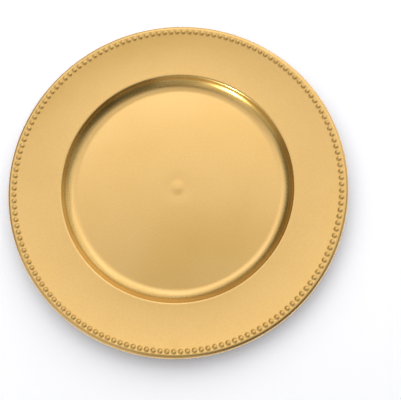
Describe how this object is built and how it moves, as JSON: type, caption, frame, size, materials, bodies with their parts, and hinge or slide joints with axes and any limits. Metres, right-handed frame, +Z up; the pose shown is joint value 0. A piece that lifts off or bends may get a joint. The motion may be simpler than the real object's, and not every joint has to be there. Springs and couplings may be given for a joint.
{
  "type": "charger plate",
  "caption": "Round flat charger plate with a steep-sided well, a wide gently rising rim and a beaded border inside a rolled edge.",
  "frame": {"origin": "centre of the circle on which the plate stands", "axes": "+Z up through the centre of the plate; X and Y lie in the plane on which it stands"},
  "size_m": [0.33, 0.33, 0.0224],
  "materials": {
    "gold_lacquer": "satin metallic gold lacquer over moulded plastic",
    "bead_lacquer": "satin metallic gold lacquer over moulded beads",
    "foot_lacquer": "satin metallic gold lacquer, rubbed a little where the plate stands"
  },
  "bodies": {
    "root": {"well_floor": "gold_lacquer", "gate_mark": "gold_lacquer", "well_wall": "gold_lacquer", "rim": "gold_lacquer", "border_band": "gold_lacquer", "beads": "bead_lacquer", "edge_lip": "gold_lacquer", "foot_ring": "foot_lacquer"}
  },
  "joints": []
}
